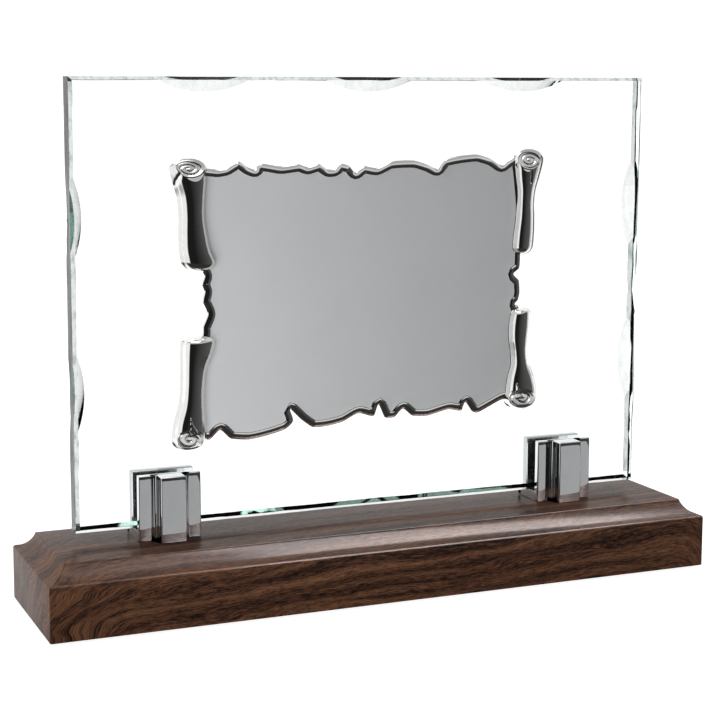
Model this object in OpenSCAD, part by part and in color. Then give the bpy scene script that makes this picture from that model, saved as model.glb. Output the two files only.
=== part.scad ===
// Glass award plaque: a clear glass plate stands in two chrome clamps on a moulded
// wooden base and carries an embossed metal scroll plate on its front face.
// X runs along the base, Y from front to back, Z up. The origin is the centre of the
// underside, where the felt meets the table.

/* [Base] */
// Length of the wooden base
base_l = 228; // [210:1:260]
// Depth of the wooden base, front to back
base_d = 51; // [48:0.5:70]
// Height of the wood, without the felt
base_h = 22.5; // [20:0.5:30]
// Width and height of the hollow moulding round the top
cove_w = 5; // [3:0.5:6]
// Depth of the hollow below the straight line across it
cove_sag = 0.9; // [0.4:0.1:0.9]
// Flat land between the moulding and the side wall
cove_land = 1; // [0.5:0.1:2]
// Radius that rounds the top of the side wall
wall_round = 0.8; // [0.4:0.1:1.5]
// Thickness of the felt under the base
felt_t = 0.8; // [0.5:0.1:2]
// How far the felt stays in from the base's edges
felt_inset = 3; // [1:0.5:8]

/* [Glass] */
// Width of the glass plate
glass_w = 200; // [180:1:220]
// Height of the glass plate
glass_h = 140; // [130:1:200]
// Thickness of the glass plate
glass_t = 8; // [6:0.5:10]
// Distance of the glass's middle plane behind the base's middle
glass_y = 1.2; // [-2:0.1:3]
// Polished chamfer along the glass edges
glass_chamfer = 1.2; // [0.5:0.1:1.5]
// Length along the edge of each crescent cut
crescent_w = 34; // [18:1:34]
// Reach of each crescent cut over the rear face
crescent_reach = 4.6; // [2:0.2:6]
// Reach of each crescent cut into the plate's edge
crescent_bite = 2.6; // [1:0.1:4]
// Spacing of the three crescents along the top edge
crescent_top_pitch = 56; // [40:0.5:80]
// Distance of the side crescents above and below the plate's middle
crescent_side = 27; // [18:0.5:40]

/* [Clamps] */
// Distance between the middles of the two clamps
clamp_span = 141; // [110:1:160]
// Width of a clamp along the base
clamp_w = 20.4; // [16:0.2:26]
// Height of a clamp above the wood
clamp_h = 21; // [18:0.5:28]
// Thickness of the clamp's floor under the glass
clamp_floor = 3.4; // [3.2:0.1:6]
// Thickness of the rear plate of a clamp
clamp_back = 2.8; // [2.4:0.1:5]
// Thickness of the side lobes of the front jaw
lobe_t = 1.8; // [1.4:0.1:3]
// Width of the centre post of the front jaw
post_w = 8.4; // [6:0.2:10]
// Thickness of the centre post of the front jaw
post_t = 6.2; // [5:0.1:8]
// Radius of the flute beside the centre post
flute_r = 1; // [0.8:0.1:1.8]
// Thickness of the clear liner between the jaw and the glass
liner_t = 0.6; // [0.4:0.1:1]
// Thickness of the clear pad under the glass
floor_pad_t = 0.5; // [0.3:0.1:1]
// Gap between the glass and the rear plate, bridged by the pressure shoe
rear_gap = 0.6; // [0.4:0.1:1]

/* [Fasteners] */
// Outside diameter of the pinch screws, a metric 4 thread
pinch_d = 3.9; // [3.9:0.01:3.96]
// Diameter of the threaded holes that take the pinch screws and the base screws
tapped_d = 4; // [4:0.01:4.05]
// Length of a pinch screw
pinch_l = 4; // [4:0.5:5]
// Height of the pinch screws above the wood
pinch_z = 13; // [10:0.5:15]
// Length of a base screw under its head
base_screw_l = 20; // [19.5:0.1:20.2]
// Depth of the pockets for the base screws' heads
pocket_depth = 6; // [5.8:0.1:6.4]
// Diameter of the pockets for the base screws' heads
pocket_d = 11; // [10:0.5:12]
// Diameter of the through holes in the wood
through_d = 4.6; // [4.3:0.1:5]

/* [Scroll plate] */
// Size of the scroll plate compared with its usual 130 x 92 mm
scroll_scale = 1; // [0.85:0.05:1]
// Distance of the scroll's middle from the glass's middle
scroll_x = -4.8; // [-10:0.2:10]
// Height of the scroll's middle above the glass's middle
scroll_z = 0.6; // [-10:0.2:10]
// Thickness of the flat sheet
sheet_t = 1.3; // [0.8:0.1:2]
// Thickness of the adhesive tape behind the scroll plate
tape_t = 0.5; // [0.3:0.1:1]
// Length of a strip of tape
tape_l = 84; // [60:1:96]
// Width of a strip of tape
tape_w = 12; // [8:1:20]
// Distance of each strip above or below the scroll's middle
tape_off = 24; // [16:1:28]

/* [Hidden] */
$fn = 64;
over = 1; // how far a cutter runs past the face that it cuts

wood_z = felt_t;
wood_top = wood_z + base_h;
left_x = -clamp_span / 2;
right_x = clamp_span / 2;

glass_front = glass_y - glass_t / 2;
glass_back = glass_y + glass_t / 2;
glass_z = wood_top + clamp_floor + floor_pad_t;
glass_mid_z = glass_z + glass_h / 2;

jaw_face = glass_front - liner_t;
lobe_face = jaw_face - lobe_t;
post_face = jaw_face - post_t;
back_face = glass_back + rear_gap;
back_outer = back_face + clamp_back;
flute_x = post_w / 2 + flute_r;
flute_y = lobe_face + 0.7 - flute_r; // the flute runs 0.7 mm into the lobe
liner_w = clamp_w - 1.6;
liner_h = 15;

// fasteners
shoe_d = 3.2;
shoe_t = 1.2;
spigot_d = 1.6;
spigot_l = 1;
spigot_bore_d = spigot_d + 0.1;
spigot_bore_depth = spigot_l + 0.2;
hex_af = 2;
hex_depth = 1.8;
pinch_axis_z = wood_top + pinch_z;
washer_t = 0.8;
washer_d = 9;
washer_hole_d = 4.3;
screw_head_d = 8;
screw_head_t = 2.6;
screw_shank_d = 3.94;
cross_w = 1.1;
cross_l = 4.4;
cross_depth = 1.4;
seat_z = wood_z + pocket_depth;
head_top_z = seat_z - washer_t;
clamp_hole_depth = 3;

// scroll plate
scroll_back = glass_front - tape_t;
scroll_mid_x = scroll_x;
scroll_mid_z = glass_mid_z + scroll_z;
roll_sink = 1.2; // the rolls' axes lie this far behind the sheet's rear face
spline_steps = 3;

// The torn outline of the sheet about the scroll's middle, clockwise from the top left
TOP_EDGE = [
    [-56, 41], [-49, 41], [-46, 41.5], [-42, 43.5], [-39, 41.6], [-36.5, 40.8], [-34.5, 42.6],
    [-28, 41.6], [-22, 42.2], [-19, 41.3], [-15, 42.2], [-12, 40.4], [-9.5, 40.6], [-7.5, 42.2],
    [-4.5, 41.4], [-2.5, 39.4], [0.5, 41.2], [5, 40.6], [10, 42.6], [18, 42.8], [23, 41.4],
    [26.5, 40], [29.5, 43], [35, 44], [41, 44.4], [46, 43], [50, 40.8], [53, 42.6], [56, 43]
];
RIGHT_EDGE = [
    [58, 28], [58, 9], [57.6, 6], [55.5, 4.2], [57.6, 2], [58, -2], [57.4, -4.6], [56.2, -6],
    [57.8, -8], [57.4, -30]
];
BOTTOM_EDGE = [
    [56, -37], [51, -38.5], [43, -42], [40.5, -41.4], [38, -38.2], [36.5, -41], [31.5, -40.2],
    [24, -41.8], [18.5, -41.4], [15, -38.8], [12, -41.4], [8.5, -41.2], [6.2, -36.8], [4.5, -40.6],
    [-1, -39.2], [-6.5, -41.6], [-12, -42.6], [-17, -42.6], [-21, -39.8], [-24.8, -36.2],
    [-23.6, -40], [-26.5, -42.6], [-33, -44.2], [-39, -45], [-45, -44.2], [-48.5, -41.2], [-52, -44]
];
LEFT_EDGE = [
    [-56.5, -42], [-57, -28], [-54.2, -11], [-54, -8], [-52.4, -4], [-54, 0], [-53.4, 3],
    [-54.2, 5.4], [-53.4, 8], [-55, 12], [-57, 30]
];

// Each roll as [x, z] of its top and bottom ends about the scroll's middle, then its radius
// at the top, the waist and the bottom
ROLLS = [
    [[-58.4, 44.5], [-55, 9.3], 6.1, 4.3, 5.7],
    [[60.3, 46], [58.5, 10.8], 5.9, 3.9, 4.5],
    [[-55.4, -10.8], [-58.8, -46.6], 5.8, 4.2, 5.8],
    [[57.8, -7.2], [58.8, -41.8], 4.5, 3.8, 6.3]
];

// A point on the smooth curve from b to c, with a and d as its neighbours
function curve_point(a, b, c, d, t) =
    0.5 * (2 * b + (c - a) * t + (2 * a - 5 * b + 4 * c - d) * t * t + (3 * b - a - 3 * c + d) * t * t * t);

// A closed smooth curve through every knot
function smooth_loop(knots, steps) = [
    for (i = [0 : len(knots) - 1])
        for (j = [0 : steps - 1])
            let (n = len(knots))
            curve_point(
                knots[(i + n - 1) % n], knots[i], knots[(i + 1) % n], knots[(i + 2) % n], j / steps
            )
];

// A cylinder along +Y that starts at the given point
module rod_y(x, y, z, d, l) {
    translate([x, y, z])
        rotate([-90, 0, 0])
            cylinder(d = d, h = l);
}

// Section of the base across a width w: side walls, rounded shoulder, land and hollow moulding
module base_section(w) {
    shoulder = base_h - cove_w;
    cove_r = (cove_w * cove_w / 2 + cove_sag * cove_sag) / (2 * cove_sag);
    cove_away = (cove_r - cove_sag) / sqrt(2);
    cove_x = w / 2 - cove_land - cove_w / 2 + cove_away;
    cove_z = base_h - cove_w / 2 + cove_away;
    difference() {
        translate([-w / 2, 0])
            square([w, base_h]);
        for (side = [-1, 1]) {
            intersection() {
                translate([side * cove_x, cove_z])
                    circle(r = cove_r);
                translate([side * (w / 2 - cove_land) - cove_w, shoulder])
                    square([2 * cove_w, cove_w + over]);
            }
            translate([side * w / 2 - cove_land, shoulder])
                square([2 * cove_land, cove_w + over]);
            translate([side * w / 2 - wall_round, shoulder - wall_round])
                square([2 * wall_round, wall_round + over]);
        }
    }
    for (side = [-1, 1])
        translate([side * (w / 2 - wall_round), shoulder - wall_round])
            circle(r = wall_round);
}

module base_block() {
    color("saddlebrown")
    difference() {
        translate([0, 0, wood_z])
            intersection() {
                rotate([90, 0, 90])
                    translate([0, 0, -base_l / 2])
                        linear_extrude(base_l)
                            base_section(base_d);
                rotate([90, 0, 0])
                    translate([0, 0, -base_d / 2])
                        linear_extrude(base_d)
                            base_section(base_l);
            }
        for (x = [left_x, right_x])
            translate([x, glass_y, 0]) {
                translate([0, 0, wood_z - over])
                    cylinder(d = pocket_d, h = pocket_depth + over);
                cylinder(d = through_d, h = wood_top + over);
            }
    }
}

module base_felt() {
    color("darkslategray")
        translate([-base_l / 2 + felt_inset, -base_d / 2 + felt_inset, 0])
            cube([base_l - 2 * felt_inset, base_d - 2 * felt_inset, felt_t]);
}

// Plan of the front jaw: a centre post between two thin lobes, with a flute on each side of it
module jaw_plan() {
    difference() {
        union() {
            translate([-clamp_w / 2, lobe_face])
                square([clamp_w, lobe_t]);
            translate([-post_w / 2, post_face])
                square([post_w, post_t]);
            translate([-flute_x, flute_y])
                square([2 * flute_x, jaw_face - flute_y]);
        }
        for (side = [-1, 1])
            translate([side * flute_x, flute_y])
                circle(r = flute_r);
    }
}

// One U-shaped clamp: fluted front jaw, floor and rear plate in one casting
module clamp_body(x) {
    color("silver")
    translate([x, 0, wood_top])
    difference() {
        union() {
            linear_extrude(clamp_h)
                jaw_plan();
            translate([-clamp_w / 2, lobe_face, 0])
                cube([clamp_w, back_outer - lobe_face, clamp_floor]);
            translate([-clamp_w / 2, back_face, 0])
                cube([clamp_w, clamp_back, clamp_h]);
        }
        translate([0, glass_y, -over])
            cylinder(d = tapped_d, h = clamp_hole_depth + over);
        rod_y(0, back_face - 0.1, pinch_z, tapped_d, clamp_back + over);
    }
}

// Clear liner on the inner face of the front jaw
module jaw_liner(x) {
    color("whitesmoke", 0.5)
        translate([x - liner_w / 2, jaw_face, glass_z])
            cube([liner_w, liner_t, liner_h]);
}

// Clear pad between the clamp's floor and the glass
module floor_pad(x) {
    color("whitesmoke", 0.5)
        translate([x - liner_w / 2, glass_front, wood_top + clamp_floor])
            cube([liner_w, glass_t, floor_pad_t]);
}

// Socket set screw that pinches the glass; its front end takes the shoe's spigot
module pinch_screw(x) {
    tip_y = glass_back + shoe_t;
    color("dimgray")
    difference() {
        rod_y(x, tip_y, pinch_axis_z, pinch_d, pinch_l);
        rod_y(x, tip_y - over, pinch_axis_z, spigot_bore_d, spigot_bore_depth + over);
        translate([x, tip_y + pinch_l - hex_depth, pinch_axis_z])
            rotate([-90, 0, 0])
                cylinder(d = hex_af / cos(30), h = hex_depth + over, $fn = 6);
    }
}

// Plastic shoe on the end of the pinch screw; it presses on the glass without turning
module pressure_shoe(x) {
    color("ivory") {
        rod_y(x, glass_back, pinch_axis_z, shoe_d, shoe_t);
        rod_y(x, glass_back + shoe_t - 0.1, pinch_axis_z, spigot_d, spigot_l + 0.1);
    }
}

// Cross-head screw that holds a clamp down from below
module base_screw(x) {
    color("gray")
    translate([x, glass_y, 0])
    difference() {
        union() {
            translate([0, 0, head_top_z - screw_head_t])
                cylinder(d = screw_head_d, h = screw_head_t);
            translate([0, 0, head_top_z - 0.1])
                cylinder(d = screw_shank_d, h = base_screw_l + 0.1);
        }
        for (turn = [0, 90])
            rotate([0, 0, turn])
                translate([-cross_l / 2, -cross_w / 2, head_top_z - screw_head_t - over])
                    cube([cross_l, cross_w, cross_depth + over]);
    }
}

module washer(x) {
    color("lightgray")
    translate([x, glass_y, head_top_z])
    difference() {
        cylinder(d = washer_d, h = washer_t);
        translate([0, 0, -over])
            cylinder(d = washer_hole_d, h = washer_t + 2 * over);
    }
}

// Octagonal section of the glass: a rectangle with its long corners chamfered
module chamfered_section(w, t, c) {
    polygon([
        [-w / 2 + c, -t / 2], [w / 2 - c, -t / 2], [w / 2, -t / 2 + c], [w / 2, t / 2 - c],
        [w / 2 - c, t / 2], [-w / 2 + c, t / 2], [-w / 2, t / 2 - c], [-w / 2, -t / 2 + c]
    ]);
}

// Ball that grinds one crescent into the rear corner of an edge that faces +Z at height 0.
// Its circle on the rear face has the crescent's width as a chord.
module crescent_ball() {
    rim_r = (pow(crescent_w / 2, 2) + pow(crescent_reach, 2)) / (2 * crescent_reach);
    up = rim_r - crescent_reach;
    back = (rim_r * rim_r - up * up - crescent_bite * crescent_bite) / (2 * crescent_bite);
    translate([0, back, up])
        sphere(r = sqrt(rim_r * rim_r + back * back), $fn = 96);
}

module glass_plate() {
    color("lightcyan", 0.35)
    translate([0, glass_y, glass_mid_z])
    difference() {
        intersection() {
            translate([0, 0, -glass_h / 2])
                linear_extrude(glass_h)
                    chamfered_section(glass_w, glass_t, glass_chamfer);
            rotate([0, -90, 0])
                translate([0, 0, -glass_w / 2])
                    linear_extrude(glass_w)
                        chamfered_section(glass_h, glass_t, glass_chamfer);
        }
        translate([0, glass_t / 2, 0]) {
            for (i = [-1, 0, 1])
                translate([i * crescent_top_pitch, 0, glass_h / 2])
                    crescent_ball();
            for (side = [-1, 1], up = [-1, 1])
                translate([side * glass_w / 2, 0, up * crescent_side])
                    rotate([0, side * 90, 0])
                        crescent_ball();
        }
    }
}

// Radius of a roll at the fraction t of its length: wide rounded ends and a narrow waist
function roll_radius(t, r_low, r_mid, r_high) =
    let (s = 2 * t - 1, end = s < 0 ? r_low : r_high, rim = 1 - pow(abs(s), 14) * 0.25)
    (r_mid + (end - r_mid) * pow(abs(s), 2.4)) * rim;

// One rolled corner, a half-round hourglass that stands proud of the sheet
module roll(ends, r_top, r_mid, r_bottom) {
    low = ends[1];
    run = ends[0] - low;
    len_roll = norm(run);
    steps = 16;
    intersection() {
        translate([low[0], roll_sink, low[1]])
            rotate([0, atan2(run[0], run[1]), 0])
                rotate_extrude()
                    polygon(concat(
                        [[0, 0]],
                        [for (i = [0 : steps])
                            [roll_radius(i / steps, r_bottom, r_mid, r_top), len_roll * i / steps]],
                        [[0, len_roll]]
                    ));
        translate([-100, -20, -100])
            cube([200, 20, 200]);
    }
}

module scroll_plate() {
    outline = smooth_loop(concat(TOP_EDGE, RIGHT_EDGE, BOTTOM_EDGE, LEFT_EDGE), spline_steps);
    color("gainsboro")
    translate([scroll_mid_x, scroll_back, scroll_mid_z])
    scale(scroll_scale) {
        rotate([90, 0, 0])
            linear_extrude(sheet_t)
                polygon(outline);
        for (r = ROLLS)
            roll([r[0], r[1]], r[2], r[3], r[4]);
    }
}

// Strip of clear double-sided tape between the scroll plate and the glass
module tape_strip(z) {
    color("lightgray", 0.6)
        translate([scroll_mid_x - tape_l / 2, scroll_back, scroll_mid_z + z - tape_w / 2])
            cube([tape_l, tape_t, tape_w]);
}

base_block();
base_felt();
clamp_body(left_x);  // clamp_left
clamp_body(right_x);  // clamp_right
jaw_liner(left_x);  // jaw_liner_left
jaw_liner(right_x);  // jaw_liner_right
floor_pad(left_x);  // floor_pad_left
floor_pad(right_x);  // floor_pad_right
pinch_screw(left_x);  // pinch_screw_left
pinch_screw(right_x);  // pinch_screw_right
pressure_shoe(left_x);  // pressure_shoe_left
pressure_shoe(right_x);  // pressure_shoe_right
base_screw(left_x);  // base_screw_left
base_screw(right_x);  // base_screw_right
washer(left_x);  // washer_left
washer(right_x);  // washer_right
glass_plate();
scroll_plate();
tape_strip(tape_off);  // tape_upper
tape_strip(-tape_off);  // tape_lower
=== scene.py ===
"""A glass award plaque on a moulded wooden base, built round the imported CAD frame.

Lengths below are in millimetres and become metres when a mesh is made.
"""
import math

import bmesh
import bpy
import numpy as np
from mathutils import Euler, Matrix, Vector
from mathutils.geometry import delaunay_2d_cdt


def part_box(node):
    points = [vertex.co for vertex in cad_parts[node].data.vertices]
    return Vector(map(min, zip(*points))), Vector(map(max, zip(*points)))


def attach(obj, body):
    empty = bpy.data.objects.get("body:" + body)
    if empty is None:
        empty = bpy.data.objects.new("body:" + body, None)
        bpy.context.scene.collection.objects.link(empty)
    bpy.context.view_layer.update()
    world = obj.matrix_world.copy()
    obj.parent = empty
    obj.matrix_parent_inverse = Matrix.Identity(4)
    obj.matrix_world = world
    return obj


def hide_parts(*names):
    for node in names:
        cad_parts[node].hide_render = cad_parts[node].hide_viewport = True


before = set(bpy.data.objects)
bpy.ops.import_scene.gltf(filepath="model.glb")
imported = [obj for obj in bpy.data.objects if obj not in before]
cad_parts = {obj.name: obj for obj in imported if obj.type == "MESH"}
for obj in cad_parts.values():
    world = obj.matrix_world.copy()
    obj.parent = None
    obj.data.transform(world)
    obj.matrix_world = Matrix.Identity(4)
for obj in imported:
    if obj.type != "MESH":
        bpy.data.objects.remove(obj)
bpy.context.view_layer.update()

MM = 0.001
ROOT = "plaque"


# ---------------------------------------------------------------- places from the frame
def box_mm(node):
    """Lowest and highest corner of a CAD node, in millimetres."""
    low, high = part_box(node)
    return low / MM, high / MM


WOOD_LOW, WOOD_HIGH = box_mm("base_block")
FELT_LOW, FELT_HIGH = box_mm("base_felt")
GLASS_LOW, GLASS_HIGH = box_mm("glass_plate")
SCROLL_LOW, SCROLL_HIGH = box_mm("scroll_plate")
SIDES = ("left", "right")

GLASS_MIDDLE = (GLASS_LOW + GLASS_HIGH) / 2
SCROLL_X = -4.8
SCROLL_Z = GLASS_MIDDLE.z + 0.6
SCROLL_BACK = SCROLL_HIGH.y


# ---------------------------------------------------------------- mesh helpers
def placed(name, data):
    """A new object in the scene."""
    obj = bpy.data.objects.new(name, data)
    bpy.context.scene.collection.objects.link(obj)
    return obj


def finish_mesh(name, bm, materials, body, nodes, sharp=30.0):
    """Turns a bmesh in millimetres into a piece that rides on a body and stands for CAD nodes."""
    bmesh.ops.remove_doubles(bm, verts=bm.verts, dist=1e-4)
    bmesh.ops.recalc_face_normals(bm, faces=bm.faces)
    bmesh.ops.scale(bm, vec=(MM, MM, MM), verts=bm.verts)
    mesh = bpy.data.meshes.new(name)
    bm.to_mesh(mesh)
    bm.free()
    for material in materials:
        mesh.materials.append(material)
    mesh.shade_smooth()
    mesh.set_sharp_from_angle(angle=math.radians(sharp))
    piece = placed(name, mesh)
    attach(piece, body)
    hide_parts(*nodes)


def loft(rings):
    """A closed skin through rings of points that each have the same count."""
    bm = bmesh.new()
    made = [[bm.verts.new(p) for p in ring] for ring in rings]
    for low, high in zip(made, made[1:]):
        count = len(low)
        for i in range(count):
            j = (i + 1) % count
            bm.faces.new((low[i], low[j], high[j], high[i]))
    bm.faces.new(list(reversed(made[0])))
    bm.faces.new(made[-1])
    return bm


def rounded_ring(low_x, low_y, high_x, high_y, radius, z, steps=4):
    """Corners of a rectangle in plan, rounded, at height z."""
    corners = (
        (high_x - radius, high_y - radius, 0), (low_x + radius, high_y - radius, 90),
        (low_x + radius, low_y + radius, 180), (high_x - radius, low_y + radius, 270),
    )
    ring = []
    for cx, cy, start in corners:
        for i in range(steps + 1):
            a = math.radians(start + 90 * i / steps)
            ring.append((cx + radius * math.cos(a), cy + radius * math.sin(a), z))
    return ring


def soft_block(low, high, corner=0.4, edge=0.3, steps=3):
    """A block with rounded upright corners and rounded top and bottom edges."""
    rings = []
    for base, way in ((low[2], 1), (high[2], -1)):
        part = []
        for i in range(steps + 1):
            a = math.radians(90 * i / steps)
            inset = edge * (1 - math.sin(a))
            z = base + way * edge * (1 - math.cos(a))
            part.append(rounded_ring(
                low[0] + inset, low[1] + inset, high[0] - inset, high[1] - inset,
                max(corner - inset * 0.5, 0.05), z,
            ))
        rings += part if way > 0 else part[::-1]
    return loft(rings)


def rod(centre, direction, radius, length, segments=48, bevel=0.0):
    """A closed cylinder that starts at a point and runs along a direction, with chamfered ends."""
    turn = Vector(direction).to_track_quat("Z", "Y").to_matrix()
    stations = [(0, radius - bevel), (bevel, radius), (length - bevel, radius), (length, radius - bevel)]
    if not bevel:
        stations = [(0, radius), (length, radius)]
    rings = []
    for along, r in stations:
        rings.append([
            Vector(centre) + turn @ Vector((
                r * math.cos(2 * math.pi * i / segments), r * math.sin(2 * math.pi * i / segments), along,
            ))
            for i in range(segments)
        ])
    return loft(rings)


def temporary(bm):
    """An object from a bmesh, for use as a boolean operand."""
    bmesh.ops.recalc_face_normals(bm, faces=bm.faces)
    mesh = bpy.data.meshes.new("operand")
    bm.to_mesh(mesh)
    bm.free()
    return placed("operand", mesh)


def combined(base, join=(), cut=()):
    """Joins some bmeshes to a first one, then cuts others out of it, in the order given."""
    body = temporary(base)
    tools = []
    for operation, parts in (("UNION", join), ("DIFFERENCE", cut)):
        for bm in parts:
            tool = temporary(bm)
            tools.append(tool)
            step = body.modifiers.new("step", "BOOLEAN")
            step.operation = operation
            step.object = tool
            step.solver = "EXACT"
    result = bmesh.new()
    result.from_object(body, bpy.context.evaluated_depsgraph_get())
    for obj in [body, *tools]:
        bpy.data.objects.remove(obj)
    return result


# ---------------------------------------------------------------- material helpers
def material(name):
    made = bpy.data.materials.new(name)
    made.use_nodes = True
    tree = made.node_tree
    tree.nodes.clear()
    out = tree.nodes.new("ShaderNodeOutputMaterial")
    shader = tree.nodes.new("ShaderNodeBsdfPrincipled")
    tree.links.new(shader.outputs[0], out.inputs["Surface"])
    return made, tree, shader


def fill(tree, made, inputs):
    """Sets a node's inputs. Each is a value, or a socket to link from."""
    for key, value in inputs.items():
        if isinstance(value, bpy.types.NodeSocket):
            tree.links.new(value, made.inputs[key])
        else:
            made.inputs[key].default_value = value


def node(tree, kind, inputs=None, **settings):
    made = tree.nodes.new("ShaderNode" + kind)
    for key, value in settings.items():
        setattr(made, key, value)
    fill(tree, made, inputs or {})
    return made


def math_node(tree, operation, a, b=0.0, c=0.0):
    return node(tree, "Math", {0: a, 1: b, 2: c}, operation=operation).outputs[0]


def plus(tree, a, b):
    return math_node(tree, "ADD", a, b)


def times(tree, a, b):
    return math_node(tree, "MULTIPLY", a, b)


def place_mm(tree):
    """The surface point in millimetres, in the object's own frame."""
    where = node(tree, "TexCoord").outputs["Object"]
    return node(tree, "VectorMath", {0: where, 3: 1 / MM}, operation="SCALE").outputs[0]


def noise(tree, vector, scale, detail=3.0, roughness=0.5):
    """Noise at one scale, or at a scale of its own along each axis."""
    if isinstance(scale, tuple):
        vector, scale = node(tree, "Mapping", {"Vector": vector, "Scale": scale}).outputs[0], 1.0
    made = node(tree, "TexNoise", {
        "Vector": vector, "Scale": scale, "Detail": detail, "Roughness": roughness,
    })
    return made.outputs["Fac"]


def ramp(tree, factor, stops):
    """A colour ramp from (position, colour) pairs."""
    made = node(tree, "ValToRGB", {0: factor})
    elements = made.color_ramp.elements
    while len(elements) < len(stops):
        elements.new(0.5)
    for element, (position, colour) in zip(elements, stops):
        element.position = position
        element.color = (*colour, 1)
    return made.outputs["Color"]


def between(tree, value, low, high, out_low, out_high):
    made = node(tree, "MapRange", {0: value, 1: low, 2: high, 3: out_low, 4: out_high})
    return made.outputs[0]


def bump(tree, shader, height, distance_mm, strength=1.0):
    made = node(tree, "Bump", {"Strength": strength, "Distance": distance_mm * MM, "Height": height})
    tree.links.new(made.outputs[0], shader.inputs["Normal"])


# ---------------------------------------------------------------- materials
# The wood's growth layers arch over beyond these two places along the base, each with its own pull
ARCH_LEFT, ARCH_RIGHT = -88.0, 103.0
PULL_LEFT, PULL_RIGHT = 0.72, 1.1
LAYER_SLOPE, LAYER_DEPTH, LAYER_WANDER = -0.075, 0.9, 16.0
PITH_BELOW = 2.0
WOOD_TONES = [
    (0.40, (0.0045, 0.0020, 0.0013)), (0.455, (0.030, 0.0110, 0.0055)),
    (0.52, (0.082, 0.0330, 0.0155)), (0.63, (0.145, 0.066, 0.0310)),
]
PORE_COLOUR = (0.006, 0.003, 0.002, 1)


def growth_layers(tree, place, x, y, z):
    """How far through the growth layers a point lies: level in the middle, arched near both ends."""
    wander = noise(tree, place, (0.012, 0.05, 0.06), 3)
    left = math_node(tree, "MAXIMUM", math_node(tree, "SUBTRACT", ARCH_LEFT, x), 0.0)
    right = math_node(tree, "MAXIMUM", math_node(tree, "SUBTRACT", x, ARCH_RIGHT), 0.0)
    ends = plus(tree, times(tree, left, PULL_LEFT), times(tree, right, PULL_RIGHT))
    height = plus(tree, z, PITH_BELOW)
    arch = math_node(tree, "SQRT", plus(tree, times(tree, height, height), times(tree, ends, ends)))
    layer = plus(tree, plus(tree, arch, times(tree, x, LAYER_SLOPE)), times(tree, y, LAYER_DEPTH))
    return plus(tree, layer, times(tree, wander, LAYER_WANDER))


def wood_material():
    """Dark rosewood under a satin lacquer: broad bands, short streaks, fibres and open pores."""
    made, tree, shader = material("dark_rosewood")
    place = place_mm(tree)
    x, y, z = node(tree, "SeparateXYZ", {0: place}).outputs
    layers = growth_layers(tree, place, x, y, z)
    grain = node(tree, "CombineXYZ", {0: x, 1: layers, 2: y}).outputs[0]
    bands = noise(tree, grain, (0.010, 0.34, 0.03), 3, 0.55)
    streaks = noise(tree, grain, (0.32, 3.0, 0.34), 4, 0.70)
    fibres = noise(tree, grain, (0.20, 6.0, 0.9), 3, 0.6)
    pores = noise(tree, grain, (0.45, 4.6, 2.2), 2, 0.5)
    tone = plus(tree, times(tree, bands, 0.40), times(tree, streaks, 0.44))
    tone = plus(tree, tone, times(tree, fibres, 0.16))
    pore = between(tree, pores, 0.35, 0.44, 1.0, 0.0)
    colour = node(tree, "Mix", {
        0: times(tree, pore, 0.75), 6: ramp(tree, tone, WOOD_TONES), 7: PORE_COLOUR,
    }, data_type="RGBA").outputs[2]
    fill(tree, shader, {
        "Base Color": colour, "Roughness": between(tree, streaks, 0.3, 0.7, 0.46, 0.36),
        "Specular IOR Level": 0.09, "Coat Weight": 0.16, "Coat Roughness": 0.15,
    })
    relief = plus(tree, times(tree, pore, -0.6), times(tree, fibres, 0.4))
    bump(tree, shader, relief, 0.05, 0.5)
    return made


def felt_material():
    made, tree, shader = material("green_felt")
    place = place_mm(tree)
    fluff = noise(tree, place, 2.2, 5, 0.7)
    matted = noise(tree, place, (0.25, 0.25, 0.25), 3)
    tone = math_node(tree, "MULTIPLY_ADD", matted, 0.4, times(tree, fluff, 0.6))
    colour = ramp(tree, tone, [
        (0.3, (0.006, 0.017, 0.012)), (0.7, (0.022, 0.052, 0.036)),
    ])
    fill(tree, shader, {
        "Base Color": colour, "Roughness": 0.95, "Sheen Weight": 0.5, "Sheen Roughness": 0.5,
    })
    bump(tree, shader, fluff, 0.25)
    return made


def metal_material(name, tint, roughness, spread=0.03, wave=0.0, wave_size=6.0, scratch=0.0):
    """Polished or plated metal: faint haze, hairlines and a slightly uneven surface."""
    made, tree, shader = material(name)
    place = place_mm(tree)
    haze = noise(tree, place, 0.35, 4, 0.6)
    hairlines = noise(tree, place, (0.6, 0.6, 14.0), 2, 0.5)
    dust = noise(tree, place, 6.0, 2, 0.5)
    colour = ramp(tree, haze, [(0.3, tuple(0.95 * c for c in tint)), (0.7, tint)])
    rough = plus(tree, between(tree, haze, 0.3, 0.7, roughness, roughness + spread),
                 between(tree, hairlines, 0.62, 0.75, 0.0, scratch))
    fill(tree, shader, {"Base Color": colour, "Metallic": 1.0, "Roughness": rough})
    ripple = noise(tree, place, 1.0 / wave_size, 1, 0.4)
    relief = plus(tree, times(tree, ripple, wave), times(tree, dust, 0.001))
    bump(tree, shader, relief, 1.0)
    return made


def satin_material():
    """Fine blasted silver, faintly brushed, of the scroll's flat field."""
    made, tree, shader = material("satin_silver")
    place = place_mm(tree)
    beads = noise(tree, place, 5.5, 3, 0.65)
    cloud = noise(tree, place, 0.045, 3, 0.5)
    brushed = noise(tree, place, (0.25, 6.0, 6.0), 3, 0.6)
    tone = math_node(tree, "MULTIPLY_ADD", cloud, 0.5, times(tree, brushed, 0.5))
    colour = ramp(tree, tone, [
        (0.3, (0.70, 0.712, 0.72)), (0.7, (0.75, 0.76, 0.768)),
    ])
    rough = between(tree, beads, 0.3, 0.7, 0.40, 0.48)
    fill(tree, shader, {"Base Color": colour, "Metallic": 0.86, "Roughness": rough})
    relief = math_node(tree, "MULTIPLY_ADD", beads, 0.75, times(tree, brushed, 0.25))
    bump(tree, shader, relief, 0.012)
    return made


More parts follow.
